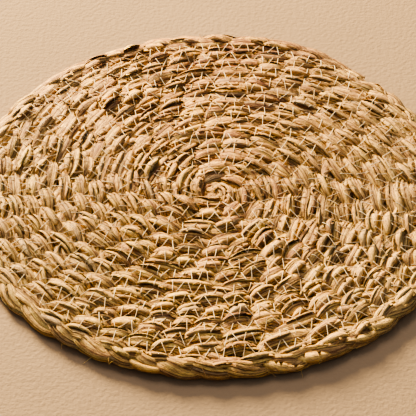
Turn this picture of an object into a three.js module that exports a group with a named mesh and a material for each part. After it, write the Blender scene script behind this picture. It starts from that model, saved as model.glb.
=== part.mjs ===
// A round straw placemat: one long three-strand braid of dried leaf, coiled flat from the middle
// outwards and sewn turn to turn. Millimetres, +Z up; the origin is under the middle of the mat, on
// the surface that it lies on. Seen from above the braid runs outwards clockwise.

import * as THREE from "three";

// The coil
const matDiameter = 380;
const coilPitch = 12.64; // from one turn of braid to the next
const coilTurns = 13.95;
const braidCover = 17.6; // width of the braid seen from above, where no turn lies over it
const eyeRadius = matDiameter / 2 - braidCover - coilPitch * (coilTurns - 0.5); // the first curl
const tailAngle = 48; // degrees, where the braid's outer end lies
const tailTurns = 0.1; // the stretch over which the braid thins to that end
const tailWidth = 0.28; // what is left of the braid's width and height at its tip
const emergeTurns = 0.02; // the stretch over which the outermost turn comes out from under the tail

// The braid, whose turns lie like shingles: inner edge up, outer edge tucked under the next turn
const lobeLength = 22; // along the braid, from one strand's bulge to the next one's
const lobeLean = 19; // how far a bulge runs along the braid while it crosses one turn
const grooveHeight = 6.8;
const lobeRise = 1.1; // up and down from a line's own height
const lobeSway = 0.9; // in and out, at the crest and at the rim
const eyeHeight = 7.8;

// The lines that run along a turn: how far out from its inner groove, and how high
const crest = { reach: 4.5, height: 9.9 };
const shoulder = { reach: 9.2, height: 8.3 };
const outerShoulder = { reach: 13.4, coveredReach: 11, height: 7 }; // the outermost turn alone
const landReaches = [2.5, 10.1]; // the flat land that the turn rests on
const underGrooveHeight = 1.5;

// The rim, rounded over the thickness of the outermost turn
const rimTuck = 1.1;
const rimHeights = { top: 5.6, middle: 3.5, bottom: 1.4 };

// How finely the lines are cut
const topStep = lobeLength / 3;
const underStep = 19;
const leastStepsPerTurn = 12;

const strawColour = 0xb98d5c;
const strawRoughness = 0.78;

// Radius of the groove on the inner side of the braid, turn being counted from the eye.
const grooveRadius = (turn) => eyeRadius + coilPitch * turn;

// Length of braid laid from the eye up to this turn, along the middle of the braid.
const braidLength = (turn) =>
  2 * Math.PI * turn * (eyeRadius + (coilPitch * (1 + turn)) / 2);

// How much of its full width and height the braid has left here: all of it, but for the tail.
function fullness(turn) {
  const along = THREE.MathUtils.clamp((turn - coilTurns + tailTurns) / tailTurns, 0, 1);
  return THREE.MathUtils.lerp(1, tailWidth, THREE.MathUtils.smoothstep(along, 0, 1));
}

// How far the outermost turn has come out from under the tail: 0 where it starts, then soon 1.
const emergence = (turn) => THREE.MathUtils.smoothstep((turn - coilTurns + 1) / emergeTurns, 0, 1);

// +1 on a bulge of the braid and -1 between two, at this distance out from the turn's inner groove.
const lobeWave = (turn, reach) =>
  Math.cos((2 * Math.PI * (braidLength(turn) - (lobeLean * reach) / coilPitch)) / lobeLength);

function pointAt(turn, radius, height) {
  const angle = THREE.MathUtils.degToRad(tailAngle) + 2 * Math.PI * (coilTurns - turn);
  return new THREE.Vector3(radius * Math.cos(angle), radius * Math.sin(angle), height);
}

// A point of the top: reach and height at full size, and how far the bulges move it.
function topPoint(turn, { reach, height }, rise, sway) {
  const size = fullness(turn);
  const wave = lobeWave(turn, reach);
  const radius = grooveRadius(turn) + size * (reach + sway * wave);
  return pointAt(turn, radius, grooveHeight + (height - grooveHeight + rise * wave) * size);
}

function outerShoulderPoint(turn) {
  const { coveredReach, reach, height } = outerShoulder;
  const out = THREE.MathUtils.lerp(coveredReach, reach, emergence(turn));
  return topPoint(turn, { reach: out, height }, lobeRise, 0);
}

function underPoint(turn, reach) {
  return pointAt(turn, grooveRadius(turn) + fullness(turn) * reach, 0);
}

// A point of the rim, tuck being how far it stands in from the outermost line.
function rimPoint(turn, height, tuck) {
  const cover = THREE.MathUtils.lerp(coilPitch, braidCover, emergence(turn));
  const reach = cover - tuck + lobeSway * lobeWave(turn, braidCover);
  return pointAt(turn, grooveRadius(turn) + fullness(turn) * reach, height);
}

// Turns at which a line along the coil has its points, about one step of braid apart.
function cuts(from, to, step) {
  const found = [from];
  for (;;) {
    const turn = found.at(-1);
    const around = 2 * Math.PI * (grooveRadius(turn) + coilPitch / 2);
    const next = turn + Math.min(step / around, 1 / leastStepsPerTurn);
    if (next > to - 0.4 * (next - turn)) return [...found, to];
    found.push(next);
  }
}

// The mesh: lines of points along the coil, and bands of triangles laid between two lines.
const points = [];
const triangles = [];

function keep(point) {
  return points.push(point) - 1;
}

function line(turns, place) {
  return turns.map((turn) => ({ turn, index: keep(place(turn)) }));
}

const stretch = (along, from, to) => along.filter(({ turn }) => turn >= from && turn <= to);

// Joins an inner line to an outer one, seen from the side where the faces point, one triangle at a
// time, always from the line that is further behind. The outer line may be a turn ahead.
function band(inner, outer, ahead, facesUp) {
  let i = 0;
  let o = 0;
  while (i < inner.length - 1 || o < outer.length - 1) {
    const innerNext = i < inner.length - 1 ? inner[i + 1].turn + ahead : Infinity;
    const outerNext = o < outer.length - 1 ? outer[o + 1].turn : Infinity;
    const corner = inner[i].index;
    const across = outer[o].index;
    const third = outerNext <= innerNext ? outer[++o].index : inner[++i].index;
    triangles.push(facesUp ? [corner, third, across] : [corner, across, third]);
  }
}

// A face whose outline is this loop of points, filled from a point inside it.
function fan(middle, loop) {
  loop.forEach((index, n) => triangles.push([middle, index, loop[(n + 1) % loop.length]]));
}

function buildCoil() {
  const lastTurn = coilTurns - 1;
  const cutsOfAll = (step) => [
    ...cuts(0, 1, step).slice(0, -1),
    ...cuts(1, lastTurn, step).slice(0, -1),
    ...cuts(lastTurn, coilTurns, step),
  ];
  const topCuts = cutsOfAll(topStep);
  const underCuts = cutsOfAll(underStep);
  const outerTurn = (along) => stretch(along, lastTurn, coilTurns);
  const first = (along) => along[0].index;
  const last = (along) => along.at(-1).index;

  const grooveLine = line(topCuts, (t) => topPoint(t, { reach: 0, height: grooveHeight }, 0, 0));
  const crestLine = line(topCuts, (t) => topPoint(t, crest, lobeRise, lobeSway));
  const shoulderLine = line(topCuts, (t) => topPoint(t, shoulder, lobeRise, 0));
  band(grooveLine, crestLine, 0, true);
  band(crestLine, shoulderLine, 0, true);
  band(stretch(shoulderLine, 0, lastTurn), stretch(grooveLine, 1, coilTurns), 1, true);

  const underGroove = line(underCuts, (t) => pointAt(t, grooveRadius(t), underGrooveHeight));
  const landStart = line(underCuts, (t) => underPoint(t, landReaches[0]));
  const landEnd = line(underCuts, (t) => underPoint(t, landReaches[1]));
  band(underGroove, landStart, 0, false);
  band(landStart, landEnd, 0, false);
  band(stretch(landEnd, 0, lastTurn), stretch(underGroove, 1, coilTurns), 1, false);

  // The rim's lines start where the outermost turn is no longer covered: on the last groove.
  const rimCuts = topCuts.filter((turn) => turn > lastTurn);
  const middleStart = keep(pointAt(coilTurns, grooveRadius(coilTurns), rimHeights.middle));
  const rimLine = (start, height, tuck) => [
    { turn: lastTurn, index: start },
    ...line(rimCuts, (t) => rimPoint(t, height, tuck)),
  ];
  const rimTop = rimLine(last(grooveLine), rimHeights.top, rimTuck);
  const rimMiddle = rimLine(middleStart, rimHeights.middle, 0);
  const rimBottom = rimLine(last(underGroove), rimHeights.bottom, rimTuck);
  const outerLine = line([lastTurn, ...rimCuts], outerShoulderPoint);
  band(outerTurn(shoulderLine), outerLine, 0, true);
  band(outerLine, rimTop, 0, true);
  band(rimTop, rimMiddle, 0, true);
  band(rimMiddle, rimBottom, 0, true);
  band(outerTurn(landEnd), rimBottom, 0, false);
  triangles.push([last(grooveLine), first(outerTurn(shoulderLine)), first(outerLine)]);

  // The eye, above and below, and the small blunt tip of the tail.
  const firstTurn = (along) => stretch(along, 0, 1).map(({ index }) => index);
  fan(keep(new THREE.Vector3(0, 0, eyeHeight)), [
    ...[first(crestLine), first(shoulderLine)],
    ...firstTurn(grooveLine).reverse(),
  ]);
  fan(keep(new THREE.Vector3(0, 0, underGrooveHeight)), [
    ...firstTurn(underGroove),
    ...[first(landEnd), first(landStart)],
  ]);
  const tipLoop = [
    middleStart,
    ...[underGroove, landStart, landEnd, rimBottom, rimMiddle].map(last),
    ...[rimTop, outerLine, shoulderLine, crestLine, grooveLine].map(last),
  ];
  const tipMiddle = new THREE.Vector3();
  tipLoop.forEach((index) => tipMiddle.addScaledVector(points[index], 1 / tipLoop.length));
  fan(keep(tipMiddle), tipLoop);
}

buildCoil();
const geometry = new THREE.BufferGeometry().setFromPoints(points);
geometry.setIndex(triangles.flat());
geometry.computeBoundingBox();
const middle = geometry.boundingBox.getCenter(new THREE.Vector3());
geometry.translate(-middle.x, -middle.y, 0);
geometry.computeVertexNormals();

const straw = new THREE.MeshStandardMaterial({
  color: strawColour,
  roughness: strawRoughness,
  metalness: 0,
  flatShading: true,
});
const braidCoil = new THREE.Mesh(geometry, straw);
braidCoil.name = "braid_coil";

const placemat = new THREE.Group();
placemat.add(braidCoil);

export default placemat;
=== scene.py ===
# A round straw placemat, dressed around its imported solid: three strands of dried leaf plaited and
# coiled from the middle outwards, loose leaves and fibres over them, and the zigzag sewing thread.
# Metres, +Z up, as the frame is. Seen from above the braid runs outwards clockwise.

import math

import bpy
import numpy as np
from mathutils import Matrix, Vector
from mathutils.bvhtree import BVHTree


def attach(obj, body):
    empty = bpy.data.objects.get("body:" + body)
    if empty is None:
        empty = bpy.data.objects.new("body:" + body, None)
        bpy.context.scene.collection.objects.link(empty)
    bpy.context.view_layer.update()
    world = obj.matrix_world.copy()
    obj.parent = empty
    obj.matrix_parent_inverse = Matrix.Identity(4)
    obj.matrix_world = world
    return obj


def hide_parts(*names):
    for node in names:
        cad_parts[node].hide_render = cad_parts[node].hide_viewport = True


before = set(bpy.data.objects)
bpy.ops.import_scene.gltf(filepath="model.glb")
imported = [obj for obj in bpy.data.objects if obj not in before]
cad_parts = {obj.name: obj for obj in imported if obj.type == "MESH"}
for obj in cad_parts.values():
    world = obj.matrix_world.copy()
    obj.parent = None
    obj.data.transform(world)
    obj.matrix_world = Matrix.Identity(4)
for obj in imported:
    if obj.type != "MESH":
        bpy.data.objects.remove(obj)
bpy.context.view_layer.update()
rng = np.random.default_rng(73)
zAxis = np.array([0.0, 0.0, 1.0])
fullTurn = 2 * np.pi


# Shader maths as plain expressions

class Shade:
    # One node socket. A sum or product with another one, or with a number, adds a Math node.
    def __init__(self, tree, socket=None):
        self.tree = tree
        self.socket = socket

    def node(self, kind, settings=None, sockets=None, output=0):
        made = self.tree.nodes.new(kind)
        for name, value in (settings or {}).items():
            if name == "stops":
                setStops(made.color_ramp, value)
            else:
                setattr(made, name, value)
        for name, value in (sockets or {}).items():
            if isinstance(value, Shade):
                self.tree.links.new(value.socket, made.inputs[name])
            else:
                made.inputs[name].default_value = value
        return Shade(self.tree, made.outputs[output])

    def maths(self, operation, *values):
        sockets = dict(enumerate(values))
        return self.node("ShaderNodeMath", {"operation": operation}, sockets)

    def __add__(self, other):
        return self.maths("ADD", self, other)

    __radd__ = __add__

    def __sub__(self, other):
        return self.maths("SUBTRACT", self, other)

    def __rsub__(self, other):
        return self.maths("SUBTRACT", other, self)

    def __mul__(self, other):
        return self.maths("MULTIPLY", self, other)

    __rmul__ = __mul__

    def __abs__(self):
        return self.maths("ABSOLUTE", self)

    def between(self, low, high):
        # 0 below low, 1 above high, and a straight line between them
        return self.node("ShaderNodeMapRange", {"clamp": True}, {0: self, 1: low, 2: high})

    def tinted(self, colour, amount, way="MIX"):
        # This colour mixed with another one, by the amount and in the way given
        settings = {"data_type": "RGBA", "blend_type": way}
        return self.node("ShaderNodeMix", settings, {0: amount, 6: self, 7: (*colour, 1)}, 2)

    def noise(self, size, detail):
        # Cloudy noise at this place, one repeat of it being this size in metres
        sockets = {"Vector": self, "Scale": 1 / size, "Detail": detail}
        return self.node("ShaderNodeTexNoise", None, sockets)


def setStops(ramp, stops):
    while len(ramp.elements) < len(stops):
        ramp.elements.new(0.5)
    for element, (position, colour) in zip(ramp.elements, stops):
        element.position = position
        element.color = (*colour, 1)


def newMaterial(name):
    material = bpy.data.materials.new(name)
    material.use_nodes = True
    return material, Shade(material.node_tree), material.node_tree.nodes["Principled BSDF"]


def objectPlace(shade):
    return shade.node("ShaderNodeTexCoord", None, None, 3)


def feed(shader, name, value):
    shader.id_data.links.new(value.socket, shader.inputs[name])


def feedBump(shade, shader, strength, distance, height):
    sockets = {"Strength": strength, "Distance": distance, "Height": height}
    feed(shader, "Normal", shade.node("ShaderNodeBump", None, sockets))


straw = dict(
    tones=[  # from the brownest leaf to the palest
        (0.0, (0.2, 0.07, 0.042)),
        (0.14, (0.46, 0.226, 0.095)),
        (0.38, (0.745, 0.44, 0.175)),
        (0.62, (0.9, 0.545, 0.195)),
        (0.84, (1.0, 0.62, 0.185)),
        (1.0, (1.0, 0.7, 0.21)),
    ],
    baseTone=0.1,
    flanks=(0.02, 0.18),  # how far out to the left and right the painted light starts and ends, making the leaves paler
    flankLight=0.12,
    flankLightColour=(0.92, 0.68, 0.34),
    flankLightAmount=0.35,
    farSide=(-0.19, 0.2),  # from the near edge to the far one, painted shade makes them browner and the near ones paler
    farShade=0.34,
    fibre=(0.0009, 0.03),  # how far one repeat of the fine lines runs across and along a leaf
    fibreTone=1.5,
    crease=(0.0018, 0.034),
    creaseTone=1.0,
    patch=0.011,
    patchTone=0.35,
    grey=(0.56, 0.43, 0.26),
    greyAmount=0.75,
    stain=(0.33, 0.135, 0.07),
    stained=(0.56, 0.74),  # where in the patches a stain starts, and where it is full
    stainAmount=0.4,
    fold=(0.2, 0.085, 0.045),
    folded=0.46,  # where in the creases a fold runs
    foldWidth=0.07,
    foldAmount=0.9,
    # Painted shade: lower leaves are multiplied darker, as in the depths between turns, not on the rim
    depthShade=(0.95, 0.78, 0.82),
    depthShadeAmount=0.85,
    deep=0.002,  # the height up to which a leaf has the full painted shade of the depths
    shallow=0.0065,
    rim=(0.031, 0.0335),  # radius squared, where that painted shade starts to fade and where it ends
    # Painted shade: the dark colour mixed in at strip feet, under loose leaves, at tips and end caps
    paintedShade=(0.085, 0.023, 0.017),
    paintedShadeAmount=0.85,
    bump=0.0012,
    bumpStrength=0.7,
    fibreRelief=0.6,
    roughness=0.66,
    fibreRoughness=0.3,
    specular=0.18,
)


def strawMaterial():
    # Leaf colour by leaf, with fine lines and folds along it and stains. Painted light makes it browner
    # on the far side and paler on the flanks; painted shade darkens the feet and depths, not the rim
    material, shade, shader = newMaterial("dried_leaf")
    leaf = shade.node("ShaderNodeAttribute", {"attribute_name": "leaf"})
    tone, paintedShade, grey = [
        shade.node("ShaderNodeSeparateColor", None, {0: leaf}, output) for output in range(3)
    ]
    along = shade.node("ShaderNodeUVMap", {"uv_map": "alongLeaf"})

    def lines(repeat, detail):
        scale = (1 / repeat[0], 1 / repeat[1], 1)
        stretched = shade.node("ShaderNodeMapping", None, {"Vector": along, "Scale": scale})
        sockets = {"Vector": stretched, "Detail": detail}
        return shade.node("ShaderNodeTexNoise", {"noise_dimensions": "2D"}, sockets)

    fibres = lines(straw["fibre"], detail=3.0)
    creases = lines(straw["crease"], detail=2.0)
    place = objectPlace(shade)
    patches = place.noise(straw["patch"], detail=3.0)
    across, back, height = [
        shade.node("ShaderNodeSeparateXYZ", None, {0: place}, axis) for axis in range(3)
    ]
    # Painted light: the leaves on the left and right flanks are painted paler, as if lit more
    flankLit = abs(across).between(*straw["flanks"])
    # Painted light and shade: paler towards the near side, browner towards the far side
    far = back.between(*straw["farSide"])
    paintedLight = straw["baseTone"] + flankLit * straw["flankLight"] - far * straw["farShade"]
    shown = (
        tone
        + (fibres - 0.5) * straw["fibreTone"]
        + (patches - 0.5) * straw["patchTone"]
        + (creases - 0.5) * straw["creaseTone"]
        + paintedLight
    )
    colour = shade.node("ShaderNodeValToRGB", {"stops": straw["tones"]}, {0: shown})
    colour = colour.tinted(straw["grey"], grey * straw["greyAmount"])
    # Painted light: a pale tint on the flanks
    colour = colour.tinted(straw["flankLightColour"], flankLit * straw["flankLightAmount"])
    stain = patches.between(*straw["stained"])
    colour = colour.tinted(straw["stain"], stain * straw["stainAmount"])
    fold = 1 - abs(creases - straw["folded"]).between(0.0, straw["foldWidth"])
    colour = colour.tinted(straw["fold"], fold * straw["foldAmount"])
    # Painted shade in the depths: the lower a leaf lies, the darker, except out on the rim
    depth = 1 - height.between(straw["deep"], straw["shallow"])
    within = 1 - (across * across + back * back).between(*straw["rim"])
    colour = colour.tinted(straw["depthShade"], depth * within * straw["depthShadeAmount"], "MULTIPLY")
    # Painted shade: darker at the strips' feet, on loose leaves' undersides and tips, and the inner
    # disc
    colour = colour.tinted(straw["paintedShade"], paintedShade * paintedShade * straw["paintedShadeAmount"])
    feed(shader, "Base Color", colour)
    feed(shader, "Roughness", straw["roughness"] + (fibres - 0.5) * straw["fibreRoughness"])
    relief = fibres * straw["fibreRelief"] + creases
    feedBump(shade, shader, straw["bumpStrength"], straw["bump"], relief)
    shader.inputs["Specular IOR Level"].default_value = straw["specular"]
    return material


thread = dict(
    tones=[(0.25, (0.86, 0.65, 0.39)), (0.7, (1.0, 0.86, 0.6))],
    twist=0.0011,
    twistTone=0.6,
    bump=0.0001,
    bumpStrength=0.4,
    roughness=0.7,
    specular=0.25,
)


def threadMaterial():
    # A pale thread with a fine twist in its tone
    material, shade, shader = newMaterial("sewing_thread")
    twist = objectPlace(shade).noise(thread["twist"], detail=1.0)
    leaf = shade.node("ShaderNodeAttribute", {"attribute_name": "leaf"})
    tone = shade.node("ShaderNodeSeparateColor", None, {0: leaf}, 0)
    shown = tone + (twist - 0.5) * thread["twistTone"]
    colour = shade.node("ShaderNodeValToRGB", {"stops": thread["tones"]}, {0: shown})
    feed(shader, "Base Color", colour)
    feedBump(shade, shader, thread["bumpStrength"], thread["bump"], twist)
    shader.inputs["Roughness"].default_value = thread["roughness"]
    shader.inputs["Specular IOR Level"].default_value = thread["specular"]
    return material


# Smooth random lines

def eased(share):
    # From 0 to 1 with a level start and a level end: 3 s^2 - 2 s^3
    return share * share * (3 - 2 * share)


def smoothStep(values, low, high):
    return eased(np.clip((values - low) / (high - low), 0, 1))


def wander(places, wavelength, rows=1):
    # Random heights between -1 and 1, half a wavelength apart, joined by smooth steps: one row each
    at = (places - places.min()) / (wavelength / 2)
    knots = rng.uniform(-1, 1, (rows, int(at.max()) + 2))
    before = at.astype(int)
    share = eased(at - before)
    return knots[:, before] * (1 - share) + knots[:, before + 1] * share


def wobble(places, amount, wavelength):
    return amount * wander(places, wavelength)[0]


def drawn(limits, count):
    # A column of random values between two limits
    return rng.uniform(*limits, count)[:, None]


def unit(vectors):
    return vectors / np.linalg.norm(vectors, axis=-1, keepdims=True)


# Meshes from whole arrays

def tubeFaces(copies, rings, sides):
    # Faces of closed tubes: quads between neighbouring rings, and a fan from each end ring to its
    # tip. The points of a copy are its rings in order, then its first tip and its last one.
    ring = np.arange(rings - 1)[:, None] * sides
    side = np.arange(sides)
    after = (side + 1) % sides
    quads = np.stack([ring + side, ring + after, ring + sides + after, ring + sides + side], -1)
    firstTip = np.full(sides, rings * sides)
    lastRing = (rings - 1) * sides
    fans = np.concatenate([
        np.stack([after, side, firstTip], -1),
        np.stack([lastRing + side, lastRing + after, firstTip + 1], -1),
    ])
    shift = (np.arange(copies) * (rings * sides + 2))[:, None, None]
    return [(quads.reshape(-1, 4) + shift).reshape(-1, 4), (fans + shift).reshape(-1, 3)]


def makePiece(name, points, faces, uv, leaf, material):
    # A mesh object; uv and leaf have one row for each corner of the faces, in their order. In leaf
    # are the leaf's tone, its painted shade where it lies in a hollow, and how grey it is.
    mesh = bpy.data.meshes.new(name)
    corners = np.concatenate([face.ravel() for face in faces])
    sizes = np.concatenate([np.full(len(face), face.shape[1]) for face in faces])
    mesh.vertices.add(len(points))
    mesh.vertices.foreach_set("co", np.ascontiguousarray(points, dtype=np.float32).ravel())
    mesh.loops.add(len(corners))
    mesh.loops.foreach_set("vertex_index", corners.astype(np.int32))
    mesh.polygons.add(len(sizes))
    starts = np.concatenate([[0], np.cumsum(sizes)[:-1]])
    mesh.polygons.foreach_set("loop_start", starts.astype(np.int32))
    mesh.update(calc_edges=True)
    mesh.shade_smooth()
    layer = mesh.uv_layers.new(name="alongLeaf")
    layer.data.foreach_set("uv", uv.astype(np.float32).ravel())
    shown = mesh.attributes.new("leaf", "FLOAT_COLOR", "CORNER")
    full = np.concatenate([leaf, np.ones((len(leaf), 1))], axis=1)
    shown.data.foreach_set("color", full.astype(np.float32).ravel())
    mesh.materials.append(material)
    piece = bpy.data.objects.new(name, mesh)
    bpy.context.collection.objects.link(piece)
    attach(piece, "root")
    triangles = int((sizes - 2).sum())
    print(f"{name}: {triangles} triangles")
    return piece


def makeTubes(name, points, uv, leaf, rings, sides, material, slot):
    # A piece of closed tubes; points, uv and leaf have one row for each point of each copy
    faces = tubeFaces(len(points), rings, sides)
    corners = np.concatenate([face.ravel() for face in faces])
    uv = uv.reshape(-1, 2)[corners]
    leaf = leaf.reshape(-1, 3)[corners]
    return makePiece(name, points.reshape(-1, 3), faces, uv, leaf, material)


def restOnFloor(points, give=0.001):
    # What would lie lower than the give is pressed up, the more the lower: z becomes g e^(z/g - 1)
    height = points[..., 2]
    pressed = give * np.exp(np.minimum(height / give - 1, 0))
    points[..., 2] = np.where(height < give, pressed, height)
    return points


# The coil: its inner grooves are a spiral, as in the solid

coil = dict(
    pitch=0.01264,
    turns=13.95,
    eyeRadius=0.00239,
    eyePlace=(0.00316, -0.00307),
    oval=0.0032,  # how much wider it has been laid towards +X and -X than a true spiral
    shift=0.0022,  # how far its outer turns lie off its eye, towards the angle below
    shiftAngle=math.radians(-55),
    startTurn=-0.52,  # the braid's start, curled up inside the eye
    startWidth=0.5,
    grownTurn=0.2,  # where the braid has come to its full size
    tailAngle=math.radians(48),  # where the braid's outer end lies
    tailTurns=0.06,  # the stretch over which the braid thins to that end
    tailWidth=0.45,
    openTurns=0.97,  # the stretch before that end where no turn lies over the braid
    middleReach=0.0088,  # from a turn's groove to the middle of its braid
    wobble=(0.0006, 0.09),  # how far the braid strays in and out, and over what length
    heightWobble=(0.00035, 0.07),
)


def turnAt(length):
    # The arc length of the spiral r = r0 + pitch turn, solved for the turn
    first = coil["eyeRadius"] + coil["middleReach"]
    root = np.sqrt(first**2 + coil["pitch"] * length / np.pi)
    return (root - first) / coil["pitch"]


def lengthAt(turn):
    # The arc length of the same spiral: 2 pi (r0 turn + pitch turn^2 / 2)
    first = coil["eyeRadius"] + coil["middleReach"]
    return fullTurn * (first * turn + coil["pitch"] * turn**2 / 2)


def angleAt(turn):
    return coil["tailAngle"] + fullTurn * (coil["turns"] - turn)


def grooveRadius(turn):
    # The spiral r0 + pitch turn, and over it (turn / turns)^2 (oval cos 2a + shift cos (a - s))
    angle = angleAt(turn)
    oval = coil["oval"] * np.cos(2 * angle) + coil["shift"] * np.cos(angle - coil["shiftAngle"])
    return coil["eyeRadius"] + coil["pitch"] * turn + (turn / coil["turns"]) ** 2 * oval


def outwards(turn):
    angle = angleAt(turn)
    return np.stack([np.cos(angle), np.sin(angle), np.zeros_like(angle)], -1)


def fullness(turn):
    # The share of its full size that the braid has: less at its start and over its tail
    start = smoothStep(turn, coil["startTurn"], coil["grownTurn"])
    tail = smoothStep(turn, coil["turns"] - coil["tailTurns"], coil["turns"])
    grown = coil["startWidth"] + (1 - coil["startWidth"]) * start
    return grown * (1 - (1 - coil["tailWidth"]) * tail)


# The braid: a strand sways in and out once in the time that it dips under and over twice. A wobble
# is how much something strays and over what length of the braid. What has rim in its name tells
# how much less, or what else, it is on the outermost turn.

braid = dict(
    step=0.0025,
    period=0.0725,
    paceWobbles=((1.5, 0.22), (0.4, 0.09)),
    strandPaceWobble=(0.2, 0.06),
    linger=0.35,  # how much slower a strand crosses over the others than it would evenly
    sway=0.0057,
    rimSway=0.28,
    rise=0.0016,
    rimRise=0.35,
    height=0.0064,
    startDrop=0.0012,  # how much lower the braid would lie where it has no size left
    tilt=math.radians(7),
    tiltWobble=(0.05, 0.12),
    drop=0.0022,  # how far the outer edge bends down, to go under the next turn
    rimDrop=-0.0003,
    strandWidth=0.0089,
    strandThickness=0.0048,
    squareness=0.8,
    rimSize=1.25,  # of the outermost turn's strands, against the others
    bulge=0.29,  # wider where it lies on top, narrower where it dives under
    rimBulge=0.5,
    unevenness=(0.24, 0.036),
    rimEvenness=0.5,
    roll=0.3,
    rollWobble=(0.15, 0.04),
    rimRoll=math.radians(10),  # of the outermost turn's outer bulges, whose leaves face outwards
)


def plaitLines():
    # The middle line of the braid, the reach times its size further out than the groove, and what all
    # three strands share along it. Their phase is 2 pi length / period, and its wobbles.
    start, end = lengthAt(coil["startTurn"]), lengthAt(coil["turns"])
    lengths = np.arange(start, end, braid["step"])
    turn = turnAt(lengths)
    size = fullness(turn)
    out = outwards(turn)
    radius = grooveRadius(turn) + coil["middleReach"] * size + wobble(lengths, *coil["wobble"])
    height = braid["height"] - braid["startDrop"] * (1 - size)
    height = height + wobble(lengths, *coil["heightWobble"])
    middle = radius[:, None] * out + height[:, None] * zAxis
    middle[:, :2] += coil["eyePlace"]
    tilt = (braid["tilt"] + wobble(lengths, *braid["tiltWobble"]))[:, None]
    phase = fullTurn * lengths / braid["period"]
    for paceWobble in braid["paceWobbles"]:
        phase = phase + wobble(lengths, *paceWobble)
    return dict(
        lengths=lengths,
        turn=turn,
        size=size,
        middle=middle,
        across=out * np.cos(tilt) - zAxis * np.sin(tilt),
        up=out * np.sin(tilt) + zAxis * np.cos(tilt),
        phase=phase,
        atRim=smoothStep(turn, coil["turns"] - 1, coil["turns"] - coil["openTurns"]),
    )


def plaitStrand(lines, number):
    # With p the phase, a third of a turn on from one strand to the next, less linger / 2 cos 2p:
    # in and out is sway sin p, and up and down is -rise sin 2p
    lengths, size, atRim = lines["lengths"], lines["size"], lines["atRim"]
    phase = lines["phase"] + fullTurn * number / 3 + wobble(lengths, *braid["strandPaceWobble"])
    phase = phase - braid["linger"] / 2 * np.cos(2 * phase)

    def atRimLess(share):
        return 1 - share * atRim

    amount, wavelength = braid["unevenness"]
    uneven = 1 + amount * atRimLess(braid["rimEvenness"]) * wander(lengths, wavelength, 4)
    sway = braid["sway"] * atRimLess(braid["rimSway"]) * np.sin(phase) * size * uneven[0]
    rise = -braid["rise"] * atRimLess(braid["rimRise"]) * np.sin(2 * phase) * size * uneven[1]
    middle = lines["middle"] + sway[:, None] * lines["across"] + rise[:, None] * lines["up"]
    drop = braid["drop"] + (braid["rimDrop"] - braid["drop"]) * atRim
    middle[:, 2] -= drop * smoothStep(sway, 0, braid["sway"]) * size
    ahead = unit(np.gradient(middle, axis=0))
    flat = unit(lines["across"] - ahead * (ahead * lines["across"]).sum(-1, keepdims=True))
    raised = np.cross(ahead, flat)
    roll = braid["roll"] * np.sin(phase) * np.sin(2 * phase) + wobble(lengths, *braid["rollWobble"])
    roll = roll - braid["rimRoll"] * atRim * np.clip(np.sin(phase), 0, 1) ** 1.5
    roll = roll[:, None]
    bulge = -braid["bulge"] * atRimLess(braid["rimBulge"]) * np.sin(2 * phase)
    grown = size * (1 + (braid["rimSize"] - 1) * atRim)
    return dict(
        lengths=lengths,
        turn=lines["turn"],
        phase=phase,
        size=size,
        middle=middle,
        ahead=ahead,
        across=flat * np.cos(roll) + raised * np.sin(roll),
        up=raised * np.cos(roll) - flat * np.sin(roll),
        halfWidth=braid["strandWidth"] / 2 * grown * (1 + bulge) * uneven[2],
        halfThickness=braid["strandThickness"] / 2 * grown * (1 + bulge / 2) * uneven[3],
    )


def onStrand(strand, length, angle, lift):
    # A point over the strand's surface, its angle counted from the outer side over the top. The
    # section is w |cos a|^s sideways and t |sin a|^s upwards, and the lift is along the normal of
    # the plain ellipse.
    last = len(strand["lengths"]) - 1.001  # just short of the last point, so that one follows
    at = np.clip((length - strand["lengths"][0]) / braid["step"], 0, last)
    before = at.astype(int)
    share = at - before

    def blended(name):
        values = strand[name]
        part = share if values.ndim == 1 else share[..., None]
        return values[before] * (1 - part) + values[before + 1] * part

    halfWidth, halfThickness = blended("halfWidth"), blended("halfThickness")
    cosine, sine = np.cos(angle), np.sin(angle)
    power = braid["squareness"]
    sideways = halfWidth * np.sign(cosine) * np.abs(cosine) ** power
    upwards = halfThickness * np.sign(sine) * np.abs(sine) ** power
    slope = np.hypot(cosine / halfWidth, sine / halfThickness)
    sideways = sideways + lift * cosine / halfWidth / slope
    upwards = upwards + lift * sine / halfThickness / slope
    return (
        blended("middle")
        + sideways[..., None] * blended("across")
        + upwards[..., None] * blended("up")
    )


# The leaves' own tones, from brown to pale, and their greyness

leafTones = dict(
    usual=(0.6, 0.13),
    brownShare=0.16,
    brown=(0.15, 0.42),
    limits=(0.08, 0.98),
    greyShare=0.07,
    grey=0.7,
)


def leafTone(count):
    # Most leaves are straw yellow; some are brown or pale
    tone = rng.normal(*leafTones["usual"], count)
    brown = rng.random(count) < leafTones["brownShare"]
    tone = np.where(brown, rng.uniform(*leafTones["brown"], count), tone)
    return np.clip(tone, *leafTones["limits"])


def leafGrey(count, most):
    # A few leaves are grey, and the others at most this much
    grey = rng.random(count)
    return np.where(grey < leafTones["greyShare"], leafTones["grey"], most * grey)


strip = dict(
    count=12,
    width=0.0023,
    drift=(0.3, 0.05),  # how far a strip's edges stray, in strips, and over what length
    ridge=0.16,  # how far across a strip its raised line lies, from its start or from its end
    foot=0.0006,  # how deep its start lies
    footWobble=(0.5, 0.03),
    edge=0.0002,
    edgeLift=(0.001, 0.045),  # how far it stands off in places, and over what length
    offset=(0.00045, 0.09),
    twistLength=0.4,  # in which the leaves go once round the strand, against the angle
    twistWobble=(0.8, 0.2),
    leafLength=0.11,
    grey=0.12,
    boundTurns=(0.09, 0.06),  # before the braid's end: where its brown wrap starts and is full
    boundTone=0.36,
    # The strands' end caps: their tone, some painted shade, and no grey
    endLeaf=(0.5, 0.3, 0.0),
    endReach=0.001,
)


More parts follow.
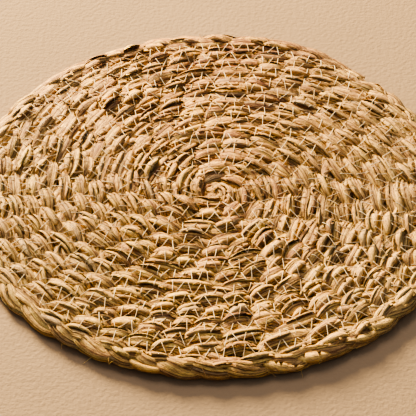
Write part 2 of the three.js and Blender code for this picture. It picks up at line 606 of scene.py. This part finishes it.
def stripTones(lengths):
    # Along each strip one leaf follows another, each with its own tone and greyness
    tones, greys = [], []
    leaves = int(np.ptp(lengths) / strip["leafLength"]) + 4
    for _ in range(strip["count"]):
        joints = np.cumsum(rng.uniform(0.5, 1.5, leaves) * strip["leafLength"])
        which = np.searchsorted(joints, lengths - lengths[0])
        tones.append(leafTone(leaves + 1)[which])
        greys.append(leafGrey(leaves + 1, strip["grey"])[which])
    return np.stack(tones, -1), np.stack(greys, -1)


def stripEdges(lengths):
    # The angles at which the strips start, drifting along the strand as it twists
    count = strip["count"]
    amount, wavelength = strip["drift"]
    edges = np.arange(count)[:, None] + amount * wander(lengths, wavelength, count)
    edges = edges * fullTurn / count
    return edges + fullTurn * lengths / strip["twistLength"] + wobble(lengths, *strip["twistWobble"])


def stripLifts(lengths, size):
    # How far the strips' feet and raised lines stand off the strand: rings by strips by two
    count = strip["count"]
    amount, wavelength = strip["edgeLift"]
    lift = strip["edge"] + amount * np.clip(wander(lengths, wavelength, count), 0, 1) ** 1.5
    amount, wavelength = strip["footWobble"]
    foot = -strip["foot"] * (1 + amount * wander(lengths, wavelength, count))
    lifts = np.stack([foot, lift], -1).transpose(1, 0, 2)
    amount, wavelength = strip["offset"]
    lifts = lifts + (amount * wander(lengths, wavelength, count)).T[:, :, None]
    return lifts * np.minimum(size, 1)[:, None, None]


def quadCorners(starts, ends):
    # What a ring's sides have at their starts and at their ends, as one row for each quad's corner
    starts, ends = [np.stack(np.broadcast_arrays(*columns), -1) for columns in (starts, ends)]
    corners = np.stack([starts[:-1], ends[:-1], ends[1:], starts[1:]], -2)
    return corners.reshape(-1, corners.shape[-1])


def strandMesh(strand, name, material):
    # A closed tube of leaf strips, like shingles. Each strip has a low foot and a raised line, which
    # stand at their angles and lifts over the strand, and the angles turn as it runs along.
    lengths = strand["lengths"]
    count, rings = strip["count"], len(lengths)
    sides = count * 2
    edges = stripEdges(lengths)
    following = np.concatenate([edges[1:], edges[:1] + fullTurn])
    turned = rng.random(count) < 0.5
    shares = np.where(turned[:, None], [0, 1 - strip["ridge"]], [0, strip["ridge"]])
    angles = edges.T[:, :, None] + (following - edges).T[:, :, None] * shares[None]
    lifts = stripLifts(lengths, strand["size"])
    place = np.repeat(lengths[:, None], sides, 1)
    ringPoints = onStrand(strand, place, angles.reshape(rings, sides), lifts.reshape(rings, sides))
    reach = np.array([[-strip["endReach"]], [strip["endReach"]]])
    tips = strand["middle"][[0, -1]] + strand["ahead"][[0, -1]] * reach
    points = restOnFloor(np.concatenate([ringPoints.reshape(-1, 3), tips]))
    faces = tubeFaces(1, rings, sides)

    tones, greys = stripTones(lengths)
    first, full = strip["boundTurns"]
    bound = smoothStep(strand["turn"], coil["turns"] - first, coil["turns"] - full)[:, None]
    tones = tones * (1 - bound) + strip["boundTone"] * bound
    side = np.arange(sides)
    stripOf = side // 2
    isRidge = side % 2 == 1
    offsets = rng.uniform(0, 5, count)[stripOf]
    startShare = shares.reshape(-1)
    endShare = np.where(isRidge, 1.0, np.roll(startShare, -1))
    startAcross = (startShare + offsets) * strip["width"]
    endAcross = (endShare + offsets) * strip["width"]
    # Painted shade at each strip's foot, where it lies under the strip before it
    startPaintedShade = np.where(isRidge, 0.0, 1.0)
    toneRows, greyRows = tones[:, stripOf], greys[:, stripOf]
    uv = quadCorners((startAcross, place), (endAcross, place))
    leaf = quadCorners((toneRows, startPaintedShade, greyRows), (toneRows, 1 - startPaintedShade, greyRows))
    endCorners = faces[1].size
    uv = np.concatenate([uv, np.zeros((endCorners, 2))])
    leaf = np.concatenate([leaf, np.tile(strip["endLeaf"], (endCorners, 1))])
    return makePiece(name, points, faces, uv, leaf, material)


looseLeaf = dict(
    rings=9,
    sides=4,
    width=(0.0022, 0.0052),
    length=(0.018, 0.042),
    thickness=0.0004,
    bluntness=(0.35, 0.8),
    turning=0.4,  # how much more or less than the strips it goes round the strand
    base=(0.0003, 0.00085),  # how far it lies off the strand
    tuck=0.0007,  # how much deeper its ends lie
    crown=0.0002,  # its middle line, above its base
    crownShare=0.35,  # how much of its edge's lift the middle line has
    lowEdge=0.0002,  # how far its other edge lies below its base
    edgeLift=(0.0001, 0.0008),
    ripple=0.00018,
    archShare=0.14,
    arch=(0.0008, 0.0022),
    tipReach=0.07,
    tipDepth=0.0004,
    toneSpread=0.05,
    grey=0.1,
    # Painted shade on each leaf's underside and at its tucked-in tips
    paintedShadeUnder=0.5,
    paintedShadeAtTips=0.25,
    clearEnd=0.08,  # the stretch at the braid's outer end without any
)


def leafPlaces(strand, row):
    # Lengths along the strand at which a row's leaves lie: about its phase in each of the periods
    first, last = strand["phase"][0] / fullTurn, strand["phase"][-1] / fullTurn
    periods = np.arange(np.ceil(first), last)
    phases = np.repeat(periods * fullTurn + row["phase"], row["leaves"])
    phases = phases[rng.random(len(phases)) < row["share"]]
    places = np.interp(phases, strand["phase"], strand["lengths"])
    return places[strand["lengths"][-1] - places > looseLeaf["clearEnd"]]


def leafShapes(strand, row, places):
    # Four lines of points along each leaf, its left edge, crown, right edge and underside, at angles
    # and lifts over the strand, then its two tips. With v from one tip to the other, a leaf is
    # w (sin pi v)^b wide, and its ends are tucked in by t (1 - (sin pi v)^(1/2)).
    count, rings, sides = len(places), looseLeaf["rings"], looseLeaf["sides"]
    v = (np.arange(rings) + 1) / (rings + 1)
    rounded = np.sin(np.pi * v)
    span = drawn(looseLeaf["length"], count)
    width = drawn(looseLeaf["width"], count)
    middle = (places + rng.normal(0, row["scatter"], count))[:, None]
    length = middle + span * (v - 0.5)
    angle = row["angle"] + drawn((-1, 1), count) * row["spread"]
    twist = span * fullTurn / strip["twistLength"]
    turning = rng.normal(0, looseLeaf["turning"], count)[:, None]
    angle = angle + (twist + turning) * (v - 0.5)
    taper = rounded ** drawn(looseLeaf["bluntness"], count)
    strandWidth = np.sin(angle) * braid["strandWidth"]
    strandThickness = np.cos(angle) * braid["strandThickness"]
    halfSpread = width * taper / 2 / (np.hypot(strandWidth, strandThickness) / 2)

    arched = (rng.random(count) < looseLeaf["archShare"])[:, None]
    arch = np.where(arched, drawn(looseLeaf["arch"], count), 0) * row["lift"]
    tuck = looseLeaf["tuck"] * (1 - rounded**0.5)
    base = drawn(looseLeaf["base"], count) - tuck + arch * rounded**2
    edge = drawn(looseLeaf["edgeLift"], count) * row["lift"] * taper
    leftUp = rng.random((count, 1)) < 0.5
    ripple = looseLeaf["ripple"] * rng.normal(0, 1, (count, rings))
    left = base + np.where(leftUp, edge, -looseLeaf["lowEdge"]) + ripple
    right = base + np.where(leftUp, -looseLeaf["lowEdge"], edge) - ripple
    crown = base + looseLeaf["crown"] + looseLeaf["crownShare"] * edge
    under = crown - looseLeaf["thickness"]
    angles = np.stack([angle - halfSpread, angle, angle + halfSpread, angle], -1)
    lifts = np.stack([left, crown, right, under], -1)
    lengths = np.repeat(length[:, :, None], sides, 2)
    ringPoints = onStrand(strand, lengths, angles, lifts)
    reach = span[:, 0] * looseLeaf["tipReach"]
    ends = np.stack([length[:, 0] - reach, length[:, -1] + reach], -1)
    depth = np.full((count, 2), -looseLeaf["tipDepth"])
    tips = onStrand(strand, ends, angle[:, [0, -1]], depth)
    points = np.concatenate([ringPoints.reshape(count, -1, 3), tips], 1)

    across = width * taper / 2
    level = 0 * taper
    uvRing = np.stack([np.stack([-across, level, across, level], -1), lengths], -1)
    uvTip = np.stack([np.zeros((count, 2)), ends], -1)
    uv = np.concatenate([uvRing.reshape(count, -1, 2), uvTip], 1)
    return points, uv + rng.uniform(0, 3, (count, 1, 1))


def leafColours(count):
    # Tone, painted shade and grey for each point of each leaf, the tone changing a little along it
    rings, sides = looseLeaf["rings"], looseLeaf["sides"]
    size = rings * sides + 2
    tone = leafTone(count)[:, None]
    change = looseLeaf["toneSpread"] * rng.normal(0, 1, (count, 1)) * np.linspace(-1, 1, size)
    ring = [0, 0, 0, looseLeaf["paintedShadeUnder"]]
    paintedShade = np.concatenate([np.tile(ring, rings), [looseLeaf["paintedShadeAtTips"]] * 2])
    grey = leafGrey(count, looseLeaf["grey"])[:, None]
    return np.stack(np.broadcast_arrays(tone + change, paintedShade, grey), -1)


def looseLeaves(strands, rows, name, material):
    # Pointed leaves lying along the strands. A row says at which phase of the plait the leaves
    # lie, how many there are to a bulge, round which angle, how far round, and how much they lift.
    picked = [(strand, row, leafPlaces(strand, row)) for strand in strands for row in rows]
    shown = []
    for strand, row, places in picked:
        points, uv = leafShapes(strand, row, places)
        shown.append((points, uv, leafColours(len(places))))
    points, uv, leaf = (np.concatenate(arrays) for arrays in zip(*shown))
    points = restOnFloor(points)
    rings, sides = looseLeaf["rings"], looseLeaf["sides"]
    return makeTubes(name, points, uv, leaf, rings, sides, material, "straw")


def hairs(middles, radii, sides, name, material, slot, tones, flatness=1.0):
    # Thin closed tubes along rows of points: middles is copies by rings by 3, radii copies by rings.
    # A ring is its middle and r cos a sideways and flatness r sin a upwards.
    copies, rings = middles.shape[:2]
    ahead = unit(np.gradient(middles, axis=1))
    sideways = unit(np.cross(ahead, zAxis + 1e-4))  # never along a tube that stands upright
    raised = np.cross(ahead, sideways)
    angle = np.arange(sides) * fullTurn / sides
    ring = (
        np.cos(angle)[:, None] * sideways[:, :, None, :]
        + flatness * np.sin(angle)[:, None] * raised[:, :, None, :]
    )
    ringPoints = middles[:, :, None, :] + ring * radii[:, :, None, None]
    reach = np.array([[-1.0], [1.0]])
    tips = middles[:, [0, -1]] + ahead[:, [0, -1]] * reach * radii[:, [0, -1], None]
    points = np.concatenate([ringPoints.reshape(copies, -1, 3), tips], 1)
    leaf = np.zeros(points.shape)
    leaf[..., 0] = tones[:, None]
    steps = np.linalg.norm(np.diff(middles, axis=1, prepend=middles[:, :1]), axis=-1)
    along = np.cumsum(steps, axis=1)
    across = radii[:, :, None] * np.cos(angle)
    uvRing = np.stack([across, np.repeat(along[:, :, None], sides, 2)], -1).reshape(copies, -1, 2)
    uvTip = np.stack([np.zeros((copies, 2)), along[:, [0, -1]]], -1)
    uv = np.concatenate([uvRing, uvTip], 1) + rng.uniform(0, 3, (copies, 1, 1))
    return makeTubes(name, points, uv, leaf, rings, sides, material, slot)


stitch = dict(
    firstTurn=0.1,
    spacing=0.0064,
    spacingScatter=0.0005,
    slant=(0.2, 1.0),  # how far along the seam a leg runs, in spacings
    inside=0.0064,
    outside=0.003,
    scatter=0.0006,
    radius=0.00027,
    thickness=(0.85, 1.15),
    shares=(0, 0.07, 0.22, 0.4, 0.58, 0.76, 0.93, 1),  # where along a leg its points lie
    sides=4,
    sink=0.001,
    tightness=0.92,
    lift=1.1,  # of a leg's middle line over the leaves, in radii
    floorGap=0.0001,
    tones=(0.1, 1.0),
)

rays = dict(start=0.05, missed=0.004)  # how far off a ray starts, and the height where it meets nothing


def surfaceTree(pieces):
    # The faces of all these pieces, for rays to be cast at
    points, faces, first = [], [], 0
    for piece in pieces:
        mesh = piece.data
        place = np.empty(len(mesh.vertices) * 3, np.float32)
        mesh.vertices.foreach_get("co", place)
        points += place.reshape(-1, 3).tolist()
        corners = np.empty(len(mesh.loops), np.int32)
        mesh.loops.foreach_get("vertex_index", corners)
        starts = np.empty(len(mesh.polygons), np.int32)
        mesh.polygons.foreach_get("loop_start", starts)
        faces += [part.tolist() for part in np.split(corners + first, starts[1:])]
        first += len(mesh.vertices)
    return BVHTree.FromPolygons(points, faces)


def heightsAt(tree, places, above):
    # The height of the surface met by a ray straight down, or straight up from below
    start, way = (rays["start"], -1.0) if above else (-rays["start"], 1.0)
    found = []
    for x, y in places.reshape(-1, 2).tolist():
        hit = tree.ray_cast(Vector((x, y, start)), Vector((0, 0, way)))[0]
        found.append(hit[2] if hit else rays["missed"])
    return np.array(found).reshape(places.shape[:-1])


def pulledTight(heights):
    # The lowest line over the heights with no hollow in it: the highest of all chords over a point
    count, places = heights.shape[1], np.array(stitch["shares"])
    tight = heights.copy()
    for first in range(count):
        for last in range(first + 2, count):
            share = (places[first + 1:last] - places[first]) / (places[last] - places[first])
            chord = heights[:, [first]] * (1 - share) + heights[:, [last]] * share
            tight[:, first + 1:last] = np.maximum(tight[:, first + 1:last], chord)
    return tight


def seamStitches(tree, above, name, material):
    # Zigzag legs over each seam, from well inside the groove to just outside it or back: the radius
    # is the groove's + start (1 - s) + end s, and the turn goes on by slant s, s being the share
    seam = np.arange(lengthAt(stitch["firstTurn"]), lengthAt(coil["turns"] - 1), stitch["spacing"])
    count = len(seam)
    seam = seam + rng.normal(0, stitch["spacingScatter"], count)
    inwards = np.arange(count) % 2
    inside, outside = -stitch["inside"], stitch["outside"]
    starts = np.where(inwards, inside, outside) + rng.normal(0, stitch["scatter"], count)
    ends = np.where(inwards, outside, inside) + rng.normal(0, stitch["scatter"], count)
    slant = stitch["spacing"] * drawn(stitch["slant"], count)
    share = np.array(stitch["shares"])
    away = starts[:, None] * (1 - share) + ends[:, None] * share
    turn = turnAt(seam[:, None] + slant * (share - 0.5))
    radius = grooveRadius(turn + 1) + away
    places = radius[..., None] * outwards(turn)[..., :2] + np.array(coil["eyePlace"])
    heights = heightsAt(tree, places, above)
    if not above:
        heights = -heights
    tight = pulledTight(heights)
    lift = stitch["radius"] * stitch["lift"]
    laid = heights + (tight - heights) * stitch["tightness"] + lift
    laid[:, [0, -1]] -= stitch["sink"]
    if not above:
        laid = np.maximum(-laid, stitch["radius"] + stitch["floorGap"])
    middles = np.concatenate([places, laid[..., None]], -1)
    radii = np.full(laid.shape, stitch["radius"]) * drawn(stitch["thickness"], count)
    tones = rng.uniform(*stitch["tones"], count)
    return hairs(middles, radii, stitch["sides"], name, material, "sewing_thread", tones)


fibre = dict(
    toStrand=700,
    rings=4,
    sides=3,
    length=(0.003, 0.009),
    radius=(0.0002, 0.0003),
    tip=0.45,  # the share of its radius that it has there
    angles=(0.1, np.pi - 0.1),
    root=-0.0002,
    probe=0.001,  # how far off the strand a point lies that shows which way is off it
    standOff=0.45,  # how much it points away from the strand, against along it
    scatter=0.6,
    droop=0.35,
    heights=(0.0004, 0.0125),
    tone=(0.75, 0.12),
)


def looseFibres(strands, material):
    # Short wisps that stand off the leaves at a slant and bend over: root + l v way - droop l v^2 up
    count, rings, chosen = fibre["toStrand"], fibre["rings"], []
    v = np.linspace(0, 1, rings)
    for strand in strands:
        length = rng.uniform(strand["lengths"][0], strand["lengths"][-1], count)
        angle = rng.uniform(*fibre["angles"], count)
        root = onStrand(strand, length, angle, np.full(count, fibre["root"]))
        off = unit(onStrand(strand, length, angle, np.full(count, fibre["probe"])) - root)
        nearest = ((length - strand["lengths"][0]) / braid["step"]).astype(int)
        along = strand["ahead"][nearest] * rng.choice([-1, 1], (count, 1))
        way = along + fibre["scatter"] * rng.normal(0, 1, (count, 3))
        way = unit(way + fibre["standOff"] * off)
        reach = drawn(fibre["length"], count)
        middles = root[:, None] + way[:, None] * (reach * v)[..., None]
        middles[..., 2] -= fibre["droop"] * reach * v**2
        chosen.append(middles)
    middles = np.concatenate(chosen)
    middles[..., 2] = np.clip(middles[..., 2], *fibre["heights"])
    radii = drawn(fibre["radius"], len(middles)) * np.linspace(1, fibre["tip"], rings)
    tones = np.clip(rng.normal(*fibre["tone"], len(middles)), 0, 1)
    return hairs(middles, radii, fibre["sides"], "leaf_fibres", material, "straw", tones)


eye = dict(
    count=46,
    rings=6,
    sides=6,
    spread=0.00375,
    length=(0.012, 0.024),
    bow=0.003,
    width=(0.0012, 0.0026),
    flatness=0.22,
    height=0.0082,
    layers=(-0.0004, 0.0013),  # how far below and above that height they are laid
    dome=9.0,  # how much lower they lie further out, to the square metre
    endDrop=0.0012,
    taper=0.8,
)


def eyeLeaves(material):
    # The first leaves, folded flat over one another where the braid starts. With v from -1/2 to 1/2,
    # a leaf bows sideways by b (1 - 4 v^2), and it lies at h - dome R^2 - drop |2 v|^3.
    count, rings = eye["count"], eye["rings"]
    direction = rng.uniform(0, fullTurn, count)
    spot = rng.normal(0, eye["spread"], (count, 2))
    v = np.linspace(-0.5, 0.5, rings)
    reach = drawn(eye["length"], count) * v
    bow = rng.normal(0, eye["bow"], count)[:, None] * (1 - 4 * v**2)
    way = np.stack([np.cos(direction), np.sin(direction)], -1)
    square = np.stack([-way[:, 1], way[:, 0]], -1)
    flat = spot[:, None] + reach[..., None] * way[:, None] + bow[..., None] * square[:, None]
    away = np.linalg.norm(flat, axis=-1)
    height = eye["height"] + drawn(eye["layers"], count) - eye["dome"] * away**2
    height = height - eye["endDrop"] * np.abs(2 * v) ** 3
    middles = np.concatenate([flat + np.array(coil["eyePlace"]), height[..., None]], -1)
    width = drawn(eye["width"], count) * (1 - eye["taper"] * np.abs(2 * v) ** 2.5)
    tones = leafTone(count)
    flatness = eye["flatness"]
    return hairs(middles, width, eye["sides"], "eye_leaves", material, "straw", tones, flatness)


inner = dict(
    rings=30,
    spokes=120,
    low=0.0042,
    high=0.005,
    rim=0.005,  # how far inside the braid's outer edge it ends
    reach=0.183,
    ripple=0.0003,
    waves=3,  # ripples to a turn's width, and round the disc
    calm=12,  # the higher, the nearer to its rim the ripples die out
    # A brown tone and much painted shade: these leaves lie in shade inside the braid
    leaf=(0.2, 0.62, 0.0),
)


def innerLeaves(material):
    # The leaves inside the mat, painted dark as shade: a thin closed disc, its rim following the
    # outermost turn. The top ripples as r sin (2 pi waves R / pitch + waves a), and the underside half
    # as much.
    spokes = np.arange(inner["spokes"]) * fullTurn / inner["spokes"]
    lastTurn = coil["turns"] - 1 + (coil["tailAngle"] - spokes) / fullTurn % 1
    rim = grooveRadius(lastTurn) + 2 * coil["middleReach"] - inner["rim"]
    rim = np.minimum(rim, inner["reach"])
    share = ((np.arange(inner["rings"]) + 1) / inner["rings"])[:, None]
    radius = share * rim
    waves = inner["waves"]
    ripple = inner["ripple"] * np.sin(fullTurn * radius / coil["pitch"] * waves + waves * spokes)
    ripple = ripple * (1 - share ** inner["calm"])
    top = np.stack([radius * np.cos(spokes), radius * np.sin(spokes), inner["high"] + ripple], -1)
    bottom = top[::-1][1:].copy()
    bottom[..., 2] = inner["low"] + 0.5 * ripple[::-1][1:]
    ringPoints = np.concatenate([top, bottom])
    ringPoints[..., :2] += coil["eyePlace"]
    tips = np.array([[*coil["eyePlace"], inner["high"]], [*coil["eyePlace"], inner["low"]]])
    points = np.concatenate([ringPoints.reshape(-1, 3), tips])[None]
    leaf = np.broadcast_to(inner["leaf"], points.shape)
    sizes = len(ringPoints), inner["spokes"]
    return makeTubes("inner_leaves", points, points[..., :2], leaf, *sizes, material, "straw")


leafMaterial = strawMaterial()
sewing = threadMaterial()
lines = plaitLines()
strands = [plaitStrand(lines, number) for number in range(3)]
names = ("strand_first", "strand_second", "strand_third")
strandPieces = [strandMesh(strand, name, leafMaterial) for strand, name in zip(strands, names)]

top, side = math.pi / 2, math.pi  # angles round a strand
innerRows = [
    dict(phase=-math.pi / 4, leaves=3, share=0.6, scatter=0.004, angle=top, spread=1.1, lift=1.0),
]
outerRows = [
    dict(phase=3 * math.pi / 4, leaves=1, share=0.6, scatter=0.004, angle=top, spread=0.9, lift=0.9),
    dict(phase=-math.pi / 2, leaves=1, share=0.8, scatter=0.005, angle=side, spread=0.5, lift=0.5),
]
underRows = [
    dict(phase=math.pi / 4, leaves=1, share=0.9, scatter=0.004, angle=-top, spread=0.8, lift=0.3),
    dict(phase=5 * math.pi / 4, leaves=1, share=0.9, scatter=0.004, angle=-top, spread=0.8, lift=0.3),
]
leafPieces = [
    looseLeaves(strands, innerRows, "leaves_inner_bulges", leafMaterial),
    looseLeaves(strands, outerRows, "leaves_outer_bulges", leafMaterial),
    looseLeaves(strands, underRows, "leaves_under", leafMaterial),
    eyeLeaves(leafMaterial),
]
tree = surfaceTree(strandPieces + leafPieces)
stitchPieces = [
    seamStitches(tree, True, "stitches_top", sewing),
    seamStitches(tree, False, "stitches_under", sewing),
]
fibrePiece = looseFibres(strands, leafMaterial)
innerPiece = innerLeaves(leafMaterial)
for piece in strandPieces + [innerPiece]:
    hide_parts("braid_coil")
print("placemat made")


# Floor, light and camera

floor = dict(
    size=6.0,
    colour=(0.39, 0.267, 0.161),
    darker=0.94,  # the share of that colour in its darker parts
    toneStops=(0.3, 0.7),
    grain=0.0032,
    waves=0.11,
    waveTone=0.7,
    grainTone=0.3,
    grainRelief=0.5,
    bump=0.0024,
    bumpStrength=0.5,
    roughness=0.85,
)


def makeFloor():
    # A pale plastered floor, faintly rough
    half = floor["size"] / 2
    corners = [(-half, -half, 0), (half, -half, 0), (half, half, 0), (-half, half, 0)]
    mesh = bpy.data.meshes.new("floor")
    mesh.from_pydata(corners, [], [(0, 1, 2, 3)])
    material, shade, shader = newMaterial("plaster")
    place = objectPlace(shade)
    grain = place.noise(floor["grain"], detail=4.0)
    waves = place.noise(floor["waves"], detail=2.0)
    dark = tuple(floor["darker"] * part for part in floor["colour"])
    stops = list(zip(floor["toneStops"], (dark, floor["colour"])))
    shown = waves * floor["waveTone"] + grain * floor["grainTone"]
    feed(shader, "Base Color", shade.node("ShaderNodeValToRGB", {"stops": stops}, {0: shown}))
    relief = grain * floor["grainRelief"] + waves
    feedBump(shade, shader, floor["bumpStrength"], floor["bump"], relief)
    shader.inputs["Roughness"].default_value = floor["roughness"]
    mesh.materials.append(material)
    plane = bpy.data.objects.new("floor", mesh)
    bpy.context.collection.objects.link(plane)


lamps = [
    dict(
        name="window",
        azimuth=math.radians(120),  # round from +X
        elevation=math.radians(21),
        distance=2.8,
        size=1.05,
        power=187.0,
        colour=(1.0, 0.81, 0.49),
    ),
    dict(
        name="skylight",
        azimuth=math.radians(125),
        elevation=math.radians(58),
        distance=4.5,
        size=2.4,
        power=36.0,
        colour=(1.0, 0.9, 0.82),
    ),
]


def makeLight(lamp):
    # A round lamp that faces the mat
    data = bpy.data.lights.new(lamp["name"], "AREA")
    data.shape = "DISK"
    data.size = lamp["size"]
    data.energy = lamp["power"]
    data.color = lamp["colour"]
    azimuth, elevation = lamp["azimuth"], lamp["elevation"]
    flat = math.cos(elevation)
    way = Vector((math.cos(azimuth) * flat, math.sin(azimuth) * flat, math.sin(elevation)))
    holder = bpy.data.objects.new(lamp["name"], data)
    holder.location = way * lamp["distance"]
    holder.rotation_euler = way.to_track_quat("Z", "Y").to_euler()
    bpy.context.collection.objects.link(holder)


sky = dict(colour=(0.92, 0.97, 1.08), strength=0.18)


def makeSky():
    # A weak light from all round, a little cooler than the lamps
    world = bpy.data.worlds.new("room")
    world.use_nodes = True
    background = world.node_tree.nodes["Background"]
    background.inputs["Color"].default_value = (*sky["colour"], 1)
    background.inputs["Strength"].default_value = sky["strength"]
    bpy.context.scene.world = world


view = dict(
    elevation=math.radians(44.368),
    distance=1.71,
    lens=189.84,
    sensor=36,
    farthest=20,
    yaw=math.radians(-0.0803),
    pitch=math.radians(0.2739),
    roll=math.radians(-0.1194),
    transform="AgX",
    contrast="AgX - High Contrast",
    exposure=0.81,
)


def makeCamera():
    # From the front and above, its axes turned a little so that the mat lies off the middle
    data = bpy.data.cameras.new("camera")
    data.lens = view["lens"]
    data.sensor_width = view["sensor"]
    data.clip_end = view["farthest"]
    up = Vector((0, math.sin(view["elevation"]), math.cos(view["elevation"])))
    back = Vector((0, -math.cos(view["elevation"]), math.sin(view["elevation"])))
    facing = Matrix((Vector((1, 0, 0)), up, back))
    turned = (
        Matrix.Rotation(view["roll"], 3, "Z")
        @ Matrix.Rotation(view["pitch"], 3, "X")
        @ Matrix.Rotation(view["yaw"], 3, "Y")
        @ facing
    )
    camera = bpy.data.objects.new("camera", data)
    camera.matrix_world = Matrix.Translation(back * view["distance"]) @ turned.transposed().to_4x4()
    bpy.context.collection.objects.link(camera)
    bpy.context.scene.camera = camera


def setColours():
    settings = bpy.context.scene.view_settings
    settings.view_transform = view["transform"]
    settings.look = view["contrast"]
    settings.exposure = view["exposure"]


makeFloor()
for lamp in lamps:
    makeLight(lamp)
makeSky()
makeCamera()
setColours()
print("floor, light and camera made")
